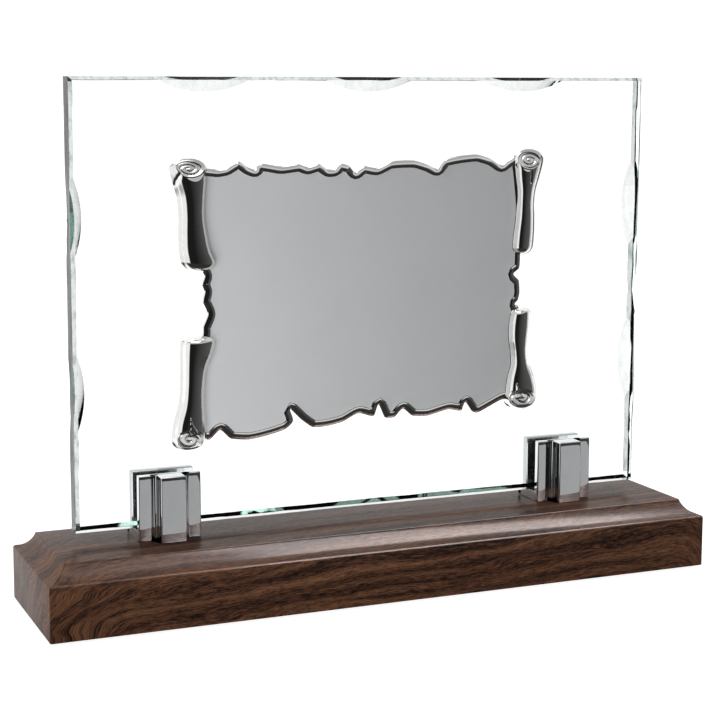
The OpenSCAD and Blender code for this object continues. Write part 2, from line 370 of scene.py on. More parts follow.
def glass_material():
    """Float glass, green through its length, with a greyer and rougher skin where it was ground."""
    made, tree, shader = material("clear_float_glass")
    place = place_mm(tree)
    ground = node(tree, "Attribute", attribute_name="ground").outputs["Fac"]
    smear = noise(tree, place, (0.03, 0.03, 0.02), 3, 0.5)
    grinding = noise(tree, place, (0.5, 0.5, 0.25), 4, 0.65)
    scuffed = ramp(tree, grinding, [(0.36, (0.13, 0.17, 0.16)), (0.56, (0.40, 0.42, 0.415))])
    tint = node(tree, "Mix", {0: ground, 6: (1, 1, 1, 1), 7: scuffed}, data_type="RGBA").outputs[2]
    rough = plus(tree, between(tree, smear, 0.55, 0.75, 0.0, 0.012), times(tree, ground, 0.05))
    fill(tree, shader, {
        "Base Color": tint, "Roughness": rough, "Transmission Weight": 1.0, "IOR": 1.52,
    })
    bump(tree, shader, times(tree, grinding, ground), 0.02, 0.5)
    absorb = node(tree, "VolumeAbsorption", {"Color": (0.62, 0.88, 0.80, 1), "Density": 10.0})
    out = [n for n in tree.nodes if n.type == "OUTPUT_MATERIAL"][0]
    tree.links.new(absorb.outputs[0], out.inputs["Volume"])
    return made


def plastic_material(name, tint, roughness, transmission=0.0, grain=1.2, depth=0.02, ior=1.49):
    made, tree, shader = material(name)
    place = place_mm(tree)
    mottle = noise(tree, place, grain, 3, 0.6)
    colour = ramp(tree, mottle, [(0.3, tuple(0.9 * c for c in tint)), (0.7, tint)])
    rough = between(tree, mottle, 0.3, 0.7, roughness, roughness + 0.08)
    fill(tree, shader, {
        "Base Color": colour, "Roughness": rough, "Transmission Weight": transmission, "IOR": ior,
    })
    bump(tree, shader, mottle, depth)
    return made


WOOD = wood_material()
FELT = felt_material()
CHROME = metal_material(
    "bright_chrome", (0.80, 0.81, 0.82), 0.012, 0.02, wave=0.004, wave_size=5.0, scratch=0.03)
POLISHED = metal_material(
    "polished_silver", (0.90, 0.895, 0.88), 0.02, 0.02, wave=0.003, wave_size=4.0, scratch=0.03)
BLACK_STEEL = metal_material("black_oxide_steel", (0.10, 0.10, 0.105), 0.30, 0.10, wave=0.002, scratch=0.1)
ZINC = metal_material("zinc_plated_steel", (0.66, 0.67, 0.70), 0.22, 0.10, wave=0.002, scratch=0.1)
SATIN = satin_material()
GLASS = glass_material()
LINER = plastic_material("clear_vinyl", (0.96, 0.97, 0.97), 0.12, transmission=0.95, ior=1.5)
TAPE = plastic_material("acrylic_tape", (0.86, 0.87, 0.87), 0.35, transmission=0.6, grain=0.8, depth=0.05)
SHOE = plastic_material("white_acetal", (0.82, 0.80, 0.74), 0.38, grain=3.0, depth=0.01)


# ---------------------------------------------------------------- wooden base and felt
COVE, COVE_SAG, COVE_LAND = 5.0, 0.9, 1.0
SHOULDER, TOP_RIM, FOOT_RIM = 0.8, 0.3, 0.35
BASE_CORNER = 0.45
POCKET_RADIUS, POCKET_DEPTH, SHANK_HOLE_RADIUS = 5.5, 6.0, 2.3


def base_profile():
    """The base's edge as (inset, height): foot, wall, shoulder, land, hollow and soft top rim."""
    low, top = WOOD_LOW.z, WOOD_HIGH.z
    points = [(FOOT_RIM, low), (0.1, low + 0.1), (0.0, low + FOOT_RIM)]
    shelf = top - COVE
    for i in range(7):
        a = math.radians(90 * i / 6)
        points.append((SHOULDER * (1 - math.cos(a)), shelf - SHOULDER * (1 - math.sin(a))))
    # the hollow is an arc over a 45 degree chord, and stops just short of the top rim
    radius = (COVE ** 2 / 2 + COVE_SAG ** 2) / (2 * COVE_SAG)
    away = (radius - COVE_SAG) / math.sqrt(2)
    half_sweep = math.degrees(math.asin(COVE / math.sqrt(2) / radius))
    for i in range(17):
        a = math.radians(45 - half_sweep + (2 * half_sweep - 2.5) * i / 16)
        points.append((COVE_LAND + COVE / 2 - away + radius * math.sin(a),
                       top - COVE / 2 + away - radius * math.cos(a)))
    inset, height = points[-1]
    for i in range(1, 5):
        a = math.radians(90 * i / 4)
        points.append((inset + TOP_RIM * (1 - math.cos(a)), height + (top - height) * math.sin(a)))
    return points


def build_base():
    rings = [
        rounded_ring(WOOD_LOW.x + d, WOOD_LOW.y + d, WOOD_HIGH.x - d, WOOD_HIGH.y - d, BASE_CORNER, z)
        for d, z in base_profile()
    ]
    cuts = []
    for side in SIDES:
        low, high = box_mm("base_screw_" + side)
        axis_x, axis_y = (low.x + high.x) / 2, (low.y + high.y) / 2
        holes = ((POCKET_RADIUS, -1.0, WOOD_LOW.z + POCKET_DEPTH), (SHANK_HOLE_RADIUS, 0.0, WOOD_HIGH.z + 1))
        for radius, start, end in holes:
            cuts.append(rod((axis_x, axis_y, start), (0, 0, 1), radius, end - start, 64))
    bm = combined(loft(rings), cut=cuts)
    finish_mesh("wooden_base", bm, [WOOD], ROOT, ["base_block"], 24)


def build_felt():
    bm = soft_block(FELT_LOW, FELT_HIGH, corner=1.2, edge=0.25)
    finish_mesh("felt_sheet", bm, [FELT], ROOT, ["base_felt"], 60)


# ---------------------------------------------------------------- clamps and fasteners
JAW_FACE = -3.4
JAW_EDGE, JAW_PILLOW = 0.45, 0.10
CLAMP_FLOOR, CLAMP_BACK = 3.4, 2.8
TAPPED_RADIUS, LEAD_IN_RADIUS, BASE_HOLE_RADIUS = 2.0, 2.35, 2.0


def jaw_front():
    """The front jaw's outline in plan, about its middle: side panel, flute, post, flute, side panel."""
    lobe, post = -5.2, -9.6
    half, post_half, flute = 10.2, 4.2, 1.0
    corner = 0.45
    points = []

    def arc(cx, cy, radius, start, end, steps=6):
        for i in range(steps + 1):
            a = math.radians(start + (end - start) * i / steps)
            points.append((cx + radius * math.cos(a), cy + radius * math.sin(a)))

    def bowed(x0, y0, x1, bulge, steps=8):
        for i in range(1, steps):
            t = i / steps
            points.append((x0 + (x1 - x0) * t, y0 - bulge * 4 * t * (1 - t)))

    meet = post_half + flute + math.sqrt(flute ** 2 - (flute - 0.7) ** 2)
    flute_y = lobe + 0.7 - flute
    points.append((-half, JAW_FACE))
    arc(-half + corner, lobe + corner, corner, 180, 270)
    bowed(-half + corner, lobe, -meet - 0.2, 0.10)
    points.append((-meet - 0.2, lobe))
    angle = math.degrees(math.asin((lobe - flute_y) / flute))
    arc(-post_half - flute, flute_y, flute, 180 - angle, 0, 14)
    arc(-post_half + corner, post + corner, corner, 180, 270)
    bowed(-post_half + corner, post, post_half - corner, 0.12)
    arc(post_half - corner, post + corner, corner, 270, 360)
    arc(post_half + flute, flute_y, flute, 180, angle, 14)
    points.append((meet + 0.2, lobe))
    bowed(meet + 0.2, lobe, half - corner, 0.10)
    arc(half - corner, lobe + corner, corner, 270, 360)
    points.append((half, JAW_FACE))
    return points


def jaw_mesh(middle_x, low_z, high_z):
    """The fluted jaw with rounded top and bottom edges and slightly pillowed faces."""
    outline = np.array(jaw_front())
    ahead, behind = np.roll(outline, -1, 0), np.roll(outline, 1, 0)
    along = ahead - behind
    inward = np.stack([-along[:, 1], along[:, 0]], 1)
    inward /= np.maximum(np.linalg.norm(inward, axis=1, keepdims=True), 1e-9)
    inward[0] = inward[-1] = (0, 0)
    height = high_z - low_z
    ends = [JAW_EDGE * (1 - math.cos(math.radians(90 * i / 5))) for i in range(6)]
    heights = ends + [height * k / 16 for k in range(1, 16)] + [height - z for z in reversed(ends)]
    rings = []
    for z in heights:
        near = min(z, height - z)
        rim = JAW_EDGE * (1 - math.sqrt(max(0.0, 1 - (1 - min(near / JAW_EDGE, 1)) ** 2)))
        inset = rim + JAW_PILLOW * (2 * z / height - 1) ** 4
        ring = outline + inward * inset
        rings.append([(middle_x + px, min(py, JAW_FACE), low_z + z) for px, py in ring])
    return loft(rings)


def build_clamp(side):
    low, high = box_mm("clamp_" + side)
    middle = (low.x + high.x) / 2
    bm = jaw_mesh(middle, low.z, high.z)
    floor_top, back_face = low.z + CLAMP_FLOOR, high.y - CLAMP_BACK
    floor = soft_block((low.x, JAW_FACE - 1, low.z), (high.x, high.y - 0.3, floor_top), 0.2, 0.15)
    back = soft_block((low.x, back_face, low.z), (high.x, high.y, high.z), 0.5, 0.45, 4)
    screw_low, screw_high = box_mm("pinch_screw_" + side)
    pin = (screw_low + screw_high) / 2
    tapped = rod((middle, back_face - 1, pin.z), (0, 1, 0), TAPPED_RADIUS, 6, 64)
    lead_in = rod((middle, high.y - 0.35, pin.z), (0, 1, 0), LEAD_IN_RADIUS, 1, 64)
    hole = rod((middle, GLASS_MIDDLE.y, low.z - 1), (0, 0, 1), BASE_HOLE_RADIUS, 4, 64)
    bm = combined(bm, join=[floor, back], cut=[tapped, lead_in, hole])
    finish_mesh(f"{side}_clamp", bm, [CHROME], ROOT, ["clamp_" + side], 32)


SET_CREST, THREAD_ROOT, THREAD_PITCH, TIP_CHAMFER = 1.95, 1.62, 0.7, 0.45


def thread_radius(y, turn, length):
    """The set screw's radius at a distance along it and a share of a turn, with chamfered ends."""
    tooth = 1 - abs(2 * ((y / THREAD_PITCH - turn) % 1) - 1)
    radius = THREAD_ROOT + (SET_CREST - THREAD_ROOT) * min(1.0, max(0.0, (tooth - 0.1) / 0.75))
    from_end = min(y, length - y)
    return min(radius, SET_CREST - max(0.0, TIP_CHAMFER - from_end) * 0.8)


def build_pinch_screw(side):
    """Socket set screw with a cut thread, a hexagon socket and a bore for the shoe's spigot."""
    low, high = box_mm("pinch_screw_" + side)
    middle = (low + high) / 2
    length = high.y - low.y
    around, along = 72, 60
    rings = []
    for j in range(along + 1):
        y = length * j / along
        ring = []
        for i in range(around):
            radius, a = thread_radius(y, i / around, length), 2 * math.pi * i / around
            ring.append((middle.x + radius * math.cos(a), low.y + y, middle.z + radius * math.sin(a)))
        rings.append(ring)
    bm = loft(rings)
    socket = rod((middle.x, high.y - 1.8, middle.z), (0, 1, 0), 1 / math.cos(math.radians(30)), 3, 6)
    bore = rod((middle.x, low.y - 1, middle.z), (0, 1, 0), 0.85, 2.2, 32)
    bm = combined(bm, cut=[socket, bore])
    finish_mesh(f"{side}_set_screw", bm, [BLACK_STEEL], side + "_screw",
                ["pinch_screw_" + side], 40)


def build_shoe(side):
    low, high = box_mm("pressure_shoe_" + side)
    middle = (low + high) / 2
    bm = rod((middle.x, low.y, middle.z), (0, 1, 0), 1.6, 1.2, 48, 0.15)
    spigot = rod((middle.x, low.y + 1.0, middle.z), (0, 1, 0), 0.8, high.y - low.y - 1.0, 32, 0.1)
    bm = combined(bm, join=[spigot])
    finish_mesh(f"{side}_shoe", bm, [SHOE], side + "_shoe",
                ["pressure_shoe_" + side], 40)


def build_liners(side):
    """Clear liner behind the jaw and clear pad on the clamp's floor."""
    for node_name, name in (("jaw_liner_", "_jaw_liner"), ("floor_pad_", "_floor_pad")):
        low, high = box_mm(node_name + side)
        gap = Vector((0, 0.03, 0.03))
        bm = soft_block(low + gap, high - gap, 0.1, 0.1)
        finish_mesh(side + name, bm, [LINER], ROOT, [node_name + side], 40)


HEAD_RADIUS, HEAD_HEIGHT, HEAD_ROUND, SHANK_RADIUS = 4.0, 2.6, 1.3, 1.97
WASHER_RADIUS, WASHER_HOLE = 4.5, 2.15


def base_screw_profile(low_z, high_z):
    """The base screw's outline as (radius, height): pan head below, threaded shank above."""
    profile = []
    for i in range(7):
        a = math.radians(90 * i / 6)
        profile.append((HEAD_RADIUS - HEAD_ROUND * (1 - math.sin(a)), low_z + HEAD_ROUND * (1 - math.cos(a))))
    head_top = low_z + HEAD_HEIGHT
    profile += [(HEAD_RADIUS, head_top), (SHANK_RADIUS, head_top)]
    z = head_top + 0.4
    while z < high_z - 0.5:
        profile += [(THREAD_ROOT, z), (SHANK_RADIUS, z + THREAD_PITCH / 2)]
        z += THREAD_PITCH
    return profile + [(THREAD_ROOT, high_z - 0.3), (1.4, high_z)]


def build_base_fastener(side):
    """Cross-head screw and washer in the pocket under the base."""
    low, high = box_mm("base_screw_" + side)
    axis_x, axis_y = (low.x + high.x) / 2, (low.y + high.y) / 2
    steps = 40
    angles = [2 * math.pi * i / steps for i in range(steps)]
    bm = loft([[(axis_x + r * math.cos(a), axis_y + r * math.sin(a), z) for a in angles]
              for r, z in base_screw_profile(low.z, high.z)])
    blades = []
    for turn in (0, 90):
        place = Matrix.Translation((axis_x, axis_y, low.z + 0.2))
        blade = bmesh.new()
        bmesh.ops.create_cube(blade, size=1, matrix=place @ Matrix.Rotation(math.radians(turn), 4, "Z")
                              @ Matrix.Diagonal((4.4, 1.1, 2.4, 1)))
        blades.append(blade)
    bm = combined(bm, cut=blades)
    finish_mesh(f"{side}_base_screw", bm, [ZINC], ROOT, ["base_screw_" + side], 35)
    low, high = box_mm("washer_" + side)
    bm = rod((axis_x, axis_y, low.z), (0, 0, 1), WASHER_RADIUS, high.z - low.z, 64, 0.12)
    hole = rod((axis_x, axis_y, low.z - 1), (0, 0, 1), WASHER_HOLE, 3, 48)
    bm = combined(bm, cut=[hole])
    finish_mesh(f"{side}_washer", bm, [ZINC], ROOT, ["washer_" + side], 35)


# ---------------------------------------------------------------- glass plate
CRESCENT_CHORD, CRESCENT_REACH, CRESCENT_BITE = 34.0, 4.6, 2.6
CRESCENT_RIM = ((CRESCENT_CHORD / 2) ** 2 + CRESCENT_REACH ** 2) / (2 * CRESCENT_REACH)
CRESCENT_AWAY = CRESCENT_RIM - CRESCENT_REACH
CRESCENT_BACK = (CRESCENT_RIM ** 2 - CRESCENT_AWAY ** 2 - CRESCENT_BITE ** 2) / (2 * CRESCENT_BITE)
CRESCENT_RADIUS = math.hypot(CRESCENT_RIM, CRESCENT_BACK)
CRESCENT_PITCH, CRESCENT_SIDE = 56.0, 27.0


def crescent_centres():
    """Centres of the balls that grind the crescents out of the rear corners of the plate."""
    centres = []
    for i in (-1, 0, 1):
        centres.append(Vector((GLASS_MIDDLE.x + CRESCENT_PITCH * i, GLASS_HIGH.y + CRESCENT_BACK,
                               GLASS_HIGH.z + CRESCENT_AWAY)))
    for edge in (GLASS_LOW.x - CRESCENT_AWAY, GLASS_HIGH.x + CRESCENT_AWAY):
        for up in (-CRESCENT_SIDE, CRESCENT_SIDE):
            centres.append(Vector((edge, GLASS_HIGH.y + CRESCENT_BACK, GLASS_MIDDLE.z + up)))
    return centres


def chipped(random, count, spacing):
    """Values from 0 to 1 round the plate's edge, with a kink every few points like struck flakes."""
    knots = np.sort(random.choice(count, count // spacing, replace=False))
    values = random.random(len(knots)) ** 1.5
    return np.interp(np.arange(count), knots, values, period=count)


def edge_points(step):
    """Points round the plate's outline in (x, z), with one on each corner."""
    (x0, _, z0), (x1, _, z1) = GLASS_LOW, GLASS_HIGH
    corners = [(x0, z0), (x1, z0), (x1, z1), (x0, z1)]
    points = []
    for a, b in zip(corners, corners[1:] + corners[:1]):
        a, b = np.array(a), np.array(b)
        count = int(np.linalg.norm(b - a) / step)
        points += [a + (b - a) * i / count for i in range(count)]
    return np.array(points)


EDGE_STEP = 2.2
FLAKE_SPACINGS = (3, 4, 2, 3, 4)
LEVEL_EDGE_SHARE = 0.3
GROUND_CRESCENT, GROUND_FOOT, GROUND_EDGE = 0.50, 0.25, 1.0


def plate_rings(points, flakes):
    """The plate's outline at five depths, each moved in by its own chamfer and flakes."""
    depth = GLASS_HIGH.y - GLASS_LOW.y
    # depth, its spread, distance in from the outline, its spread
    sections = [
        (0.0, 0.0, 1.0, 0.5), (1.0, 0.5, 0.0, 0.35), (depth / 2 - 0.8, 1.6, 0.0, 0.45),
        (depth - 1.6, 0.8, 0.0, 0.35), (depth, 0.0, 1.0, 0.7),
    ]
    rings = []
    for (y, y_spread, inset, spread), flake in zip(sections, flakes):
        away = inset + spread * flake
        x = np.clip(points[:, 0], GLASS_LOW.x + away, GLASS_HIGH.x - away)
        z = np.clip(points[:, 1], GLASS_LOW.z + away, GLASS_HIGH.z - away)
        rings.append([(px, GLASS_LOW.y + y + y_spread * f, pz) for px, pz, f in zip(x, z, flake)])
    return rings


def mark_ground_faces(bm, centres):
    """Writes how far each face was ground: crescents, the foot and the other edges, but not the faces."""
    ground = bm.faces.layers.float.new("ground")
    for face in bm.faces:
        middle = face.calc_center_median()
        if min(abs((middle - c).length - CRESCENT_RADIUS) for c in centres) < 0.05:
            face[ground] = GROUND_CRESCENT
        elif middle.z < GLASS_LOW.z + 1.5:
            face[ground] = GROUND_FOOT
        elif abs(face.normal.y) < 0.995:
            face[ground] = GROUND_EDGE


def build_glass():
    """The plate: chiselled and ground edges, and seven crescents ground from behind."""
    random = np.random.default_rng(11)
    points = edge_points(EDGE_STEP)
    flakes = [chipped(random, len(points), spacing) for spacing in FLAKE_SPACINGS]
    level_edge = (points[:, 1] < GLASS_LOW.z + 0.1) | (points[:, 1] > GLASS_HIGH.z - 0.1)
    flakes = [np.where(level_edge, LEVEL_EDGE_SHARE * flake, flake) for flake in flakes]
    bm = loft(plate_rings(points, flakes))
    centres = crescent_centres()
    cuts = []
    for centre in centres:
        ball = bmesh.new()
        bmesh.ops.create_uvsphere(ball, u_segments=256, v_segments=128, radius=CRESCENT_RADIUS,
                                  matrix=Matrix.Translation(centre))
        cuts.append(ball)
    bm = combined(bm, cut=cuts)
    mark_ground_faces(bm, centres)
    finish_mesh("glass_panel", bm, [GLASS], ROOT, ["glass_plate"], 15)


# ---------------------------------------------------------------- scroll plate
# The torn outline of the sheet about the scroll's middle, clockwise from the top left
TOP_EDGE = [
    (-56, 41), (-49, 41), (-46, 41.5), (-42, 43.5), (-39, 41.6), (-36.5, 40.8), (-34.5, 42.6),
    (-28, 41.6), (-22, 42.2), (-19, 41.3), (-15, 42.2), (-12, 40.4), (-9.5, 40.6), (-7.5, 42.2),
    (-4.5, 41.4), (-2.5, 39.4), (0.5, 41.2), (5, 40.6), (10, 42.6), (18, 42.8), (23, 41.4),
    (26.5, 40), (29.5, 43), (35, 44), (41, 44.4), (46, 43), (50, 40.8), (53, 42.6), (56, 43),
]
RIGHT_EDGE = [
    (58, 28), (58, 9), (57.6, 6), (55.5, 4.2), (57.6, 2), (58, -2), (57.4, -4.6), (56.2, -6),
    (57.8, -8), (57.4, -30),
]
BOTTOM_EDGE = [
    (56, -37), (51, -38.5), (43, -42), (40.5, -41.4), (38, -38.2), (36.5, -41), (31.5, -40.2),
    (24, -41.8), (18.5, -41.4), (15, -38.8), (12, -41.4), (8.5, -41.2), (6.2, -36.8), (4.5, -40.6),
    (-1, -39.2), (-6.5, -41.6), (-12, -42.6), (-17, -42.6), (-21, -39.8), (-24.8, -36.2),
    (-23.6, -40), (-26.5, -42.6), (-33, -44.2), (-39, -45), (-45, -44.2), (-48.5, -41.2), (-52, -44),
]
LEFT_EDGE = [
    (-56.5, -42), (-57, -28), (-54.2, -11), (-54, -8), (-52.4, -4), (-54, 0), (-53.4, 3),
    (-54.2, 5.4), (-53.4, 8), (-55, 12), (-57, 30),
]

# The rim's section as (distance in from the outline, height above the sheet's back)
RIM = [
    (0.0, 0.25), (0.10, 0.45), (0.35, 0.66), (0.75, 0.88), (1.15, 1.06), (1.42, 1.16), (1.58, 1.19),
    (1.74, 1.17), (1.95, 1.08), (2.15, 0.97), (2.32, 0.89), (2.45, 0.85),
]
FIELD_HEIGHT, FIELD_STEP = 0.85, 3.0
CORNER_SOFTNESS = 0.6


def smooth_loop(knots, steps):
    """A closed curve through every knot that keeps some of the corners' bite."""
    k = np.array(knots, float)
    ahead, behind = np.roll(k, -1, 0), np.roll(k, 1, 0)
    slope = (ahead - behind) * 0.5 * CORNER_SOFTNESS
    next_slope = np.roll(slope, -1, 0)
    out = []
    for i in range(steps):
        t = i / steps
        out.append((2 * t ** 3 - 3 * t ** 2 + 1) * k + (t ** 3 - 2 * t ** 2 + t) * slope
                   + (3 * t ** 2 - 2 * t ** 3) * ahead + (t ** 3 - t ** 2) * next_slope)
    return np.stack(out, 1).reshape(-1, 2)


def distance_to_loop(points, loop):
    """The distance from each point to the closed outline."""
    a, b = loop, np.roll(loop, -1, 0)
    run = b - a
    best = np.full(len(points), 1e9)
    for start, step in zip(a, run):
        t = np.clip(((points - start) @ step) / max(step @ step, 1e-12), 0, 1)
        best = np.minimum(best, np.linalg.norm(points - start - t[:, None] * step, axis=1))
    return best


def moved_in(loop, distance):
    """The outline moved inward, without the stretches that would fold over themselves."""
    if distance == 0:
        return loop
    along = np.roll(loop, -1, 0) - np.roll(loop, 1, 0)
    inward = np.stack([along[:, 1], -along[:, 0]], 1)
    inward /= np.linalg.norm(inward, axis=1, keepdims=True)
    moved = loop + inward * distance
    return moved[distance_to_loop(moved, loop) > distance * 0.96]


def inside_loop(points, loop):
    a, b = loop, np.roll(loop, -1, 0)
    hits = np.zeros(len(points), int)
    for (x0, z0), (x1, z1) in zip(a, b):
        crosses = (z0 > points[:, 1]) != (z1 > points[:, 1])
        with np.errstate(divide="ignore", invalid="ignore"):
            at = x0 + (points[:, 1] - z0) * (x1 - x0) / (z1 - z0)
        hits += crosses & (points[:, 0] < at)
    return hits % 2 == 1


def build_sheet():
    """The sheet: a satin field inside a polished raised rim that follows the torn outline."""
    outline = smooth_loop(TOP_EDGE + RIGHT_EDGE + BOTTOM_EDGE + LEFT_EDGE, 6)
    coords, heights, edges = [], [], []
    for inset, height in RIM:
        loop = moved_in(outline, inset)
        first = len(coords)
        coords += [Vector(p) for p in loop]
        heights += [height] * len(loop)
        edges += [(first + i, first + (i + 1) % len(loop)) for i in range(len(loop))]
    across, up = np.arange(-58, 58.1, FIELD_STEP), np.arange(-45, 45.1, FIELD_STEP)
    grid = np.array([(x, z) for x in across for z in up])
    grid = grid[inside_loop(grid, outline)]
    grid = grid[distance_to_loop(grid, outline) > RIM[-1][0] + 1.0]
    coords += [Vector(p) for p in grid]
    heights += [FIELD_HEIGHT] * len(grid)
    points, _, faces, origin, _, _ = delaunay_2d_cdt(coords, edges, [], 1, 1e-5)
    level = [heights[o[0]] if o else FIELD_HEIGHT for o in origin]
    bm = bmesh.new()
    front = [bm.verts.new((SCROLL_X + p[0], SCROLL_BACK - h, SCROLL_Z + p[1])) for p, h in zip(points, level)]
    back = [bm.verts.new((SCROLL_X + p[0], SCROLL_BACK, SCROLL_Z + p[1])) for p in points]
    for face in faces:
        made = bm.faces.new([front[i] for i in face])
        made.material_index = 0 if all(abs(level[i] - FIELD_HEIGHT) < 0.02 for i in face) else 1
        bm.faces.new([back[i] for i in reversed(face)]).material_index = 0
    behind = dict(zip(front, back))
    for edge in [e for e in bm.edges if len(e.link_faces) == 1 and e.verts[0] in behind]:
        a, b = edge.verts
        bm.faces.new((a, b, behind[b], behind[a])).material_index = 1
    finish_mesh("scroll_sheet", bm, [SATIN, POLISHED], ROOT, ["scroll_plate"], 62)


# Each roll: its left and right sides as (z, left x, right x) about the scroll's middle, its lowest
# and highest z, the length of its rounded lower and upper ends, and the way towards the sheet
ROLLS = {
    "upper_left": dict(
        sides=[(9.2, -60.4, -49.4), (12.8, -61.0, -49.5), (15.5, -61.5, -50.7), (21, -61.7, -52.0),
               (26.6, -61.6, -52.8), (32, -62.0, -52.6), (37.5, -63.5, -52.1), (41.4, -64.4, -52.1),
               (44.5, -64.5, -52.2)],
        low=(9.2, 3.6), high=(44.5, 3.3), inner=1, disc="top", shift=0.5, lean=0.12),
    "upper_right": dict(
        sides=[(10.6, 54.0, 62.6), (13.2, 54.1, 63.0), (18.3, 54.5, 63.4), (22.9, 55.1, 63.4),
               (28.0, 55.4, 63.2), (32.2, 55.4, 63.7), (36.8, 54.7, 65.1), (41.4, 54.3, 66.3),
               (45.9, 54.3, 66.4)],
        low=(10.6, 3.2), high=(45.9, 3.8), inner=-1, disc="top", shift=0.6, lean=0.36),
    "lower_left": dict(
        sides=[(-46.8, -64.5, -52.9), (-43.4, -64.5, -52.8), (-38, -63.9, -52.8), (-32.6, -62.3, -53.1),
               (-26.4, -61.6, -53.0), (-21, -61.5, -52.2), (-15.7, -61.5, -50.1), (-13.5, -61.4, -49.5),
               (-10.8, -61.3, -49.3)],
        low=(-46.8, 3.6), high=(-10.8, 2.6), inner=1, disc="bottom", shift=0.9, lean=-0.15),
    "lower_right": dict(
        sides=[(-41.8, 52.6, 64.9), (-36.2, 52.2, 65.3), (-31.1, 52.8, 64.2), (-25.9, 54.1, 62.1),
               (-21.7, 53.8, 61.6), (-17.9, 53.2, 61.9), (-14.2, 53.1, 62.3), (-10.4, 53.5, 62.5),
               (-7.2, 54.2, 62.4)],
        low=(-41.8, 3.8), high=(-7.2, 2.4), inner=-1, disc="bottom", shift=1.4, lean=0.26),
}
CREST_SHARE = 0.80
# The thin edge round each roll: how far it stands out, its height at the very edge, and two slopes
# as (rise per millimetre, start, end)
FLANGE = 0.6
FLANGE_FOOT = 0.35
FLANGE_SLOPES = ((1.3, 0.0, 0.35), (0.9, 0.35, 1.20))
GROOVE_WIDTH, LIP_RISE, LIP_WIDTH = 0.055, 0.16, 0.07
ROLL_ROWS, ROLL_COLUMNS = 200, 84


def through_knots(z, knots_z, values):
    """A smooth curve through knots, with each slope taken from its neighbours."""
    knots_z, values = np.array(knots_z, float), np.array(values, float)
    slopes = np.gradient(values, knots_z)
    i = np.clip(np.searchsorted(knots_z, z) - 1, 0, len(knots_z) - 2)
    span = knots_z[i + 1] - knots_z[i]
    t = np.clip((z - knots_z[i]) / span, 0, 1)
    return ((2 * t ** 3 - 3 * t ** 2 + 1) * values[i] + (t ** 3 - 2 * t ** 2 + t) * span * slopes[i]
            + (3 * t ** 2 - 2 * t ** 3) * values[i + 1] + (t ** 3 - t ** 2) * span * slopes[i + 1])


def soft_min(a, b, k):
    h = np.clip(0.5 + 0.5 * (b - a) / k, 0, 1)
    return b * (1 - h) + a * h - k * h * (1 - h)


def soft_max(a, b, k):
    return -soft_min(-a, -b, k)


def bell(value, width):
    return np.exp(-(value / width) ** 2)


def step_between(value, low, high):
    t = np.clip((value - low) / (high - low), 0, 1)
    return t * t * (3 - 2 * t)


def spiral(dx, dz, a, b, way, turns=2.3, depth=0.34):
    """A groove that winds into the middle of an ellipse, with a raised lip round it."""
    rho = np.hypot(dx / a, dz / b)
    turn = (way * np.arctan2(dz / b, dx / a) / (2 * math.pi)) % 1
    pitch = 0.86 / turns
    lane = (rho - pitch * turn) % pitch
    lane = np.minimum(lane, pitch - lane)
    groove = bell(lane, GROOVE_WIDTH) * step_between(rho, 0.06, 0.16) * step_between(rho, 0.90, 0.80)
    return rho, -depth * groove + LIP_RISE * bell(rho - 0.93, LIP_WIDTH)


def roll_heights(spec, x, z, half, full, middle):
    """Height of a roll's front above the sheet's back, over a grid of x and z."""
    inner = spec["inner"]
    low, low_run = spec["low"]
    high, high_run = spec["high"]
    body_half = np.maximum(half - FLANGE * np.minimum(half / full, 1), 0.05)
    crest = CREST_SHARE * (0.45 * full + 0.55 * full.mean())
    across = (x - middle) / body_half
    lean = across - inner * spec["lean"] * (1 - np.clip(across, -1, 1) ** 2)
    arch = np.sqrt(np.clip(1 - lean ** 2, 0, 1))
    round_low = np.sqrt(np.clip(1 - np.clip((low + low_run - z) / low_run, 0, 1) ** 2.6, 0, 1))
    round_high = np.sqrt(np.clip(1 - np.clip((z - high + high_run) / high_run, 0, 1) ** 2.6, 0, 1))
    if spec["disc"] == "top":
        body = crest * arch * round_low
    else:
        body = crest * arch * round_high * np.maximum(round_low, 0.25)
    edge = half - np.abs(x - middle)
    flange = FLANGE_FOOT + sum(rise * np.clip(edge - a, 0, b - a) for rise, a, b in FLANGE_SLOPES)
    height = soft_max(body, flange, 0.3)
    if spec["disc"] == "top":
        disc_z = high - high_run + 0.1
        cut = crest - 0.50 * (z - (disc_z - 3.9))
        rho, detail = spiral(x - middle + spec["shift"], z - disc_z, full - 1.3, high_run - 0.75, inner)
        height = soft_min(height, cut + detail * step_between(rho, 1.35, 1.05), 0.16)
    else:
        disc_z = low + low_run + 0.35
        a, b = full - 1.45, low_run - 0.75
        rho, detail = spiral(x - middle + spec["shift"], z - disc_z, a, b, -inner, turns=1.6, depth=0.5)
        face = 0.86 * crest - 0.45 * (z - disc_z)
        mask = step_between(rho, 1.05, 0.97)
        height = height * (1 - mask) + (face + detail) * mask
    return height


def tongue(x, z, tip, base, width, rise):
    """The pointed end of the sheet where it curls onto the roll."""
    (tip_x, tip_z), (base_x, base_z) = tip, base
    t = np.clip((tip_z - z) / (tip_z - base_z), 0, 1)
    centre = tip_x + (base_x - tip_x) * t ** 2
    half = width * (0.10 + 0.90 * t ** 2.2)
    mask = step_between(np.abs(x - centre), half + 0.12, half - 0.10) * step_between(z, tip_z, tip_z - 0.3)
    return mask * step_between(z, base_z - 0.4, base_z), t * rise + 0.25


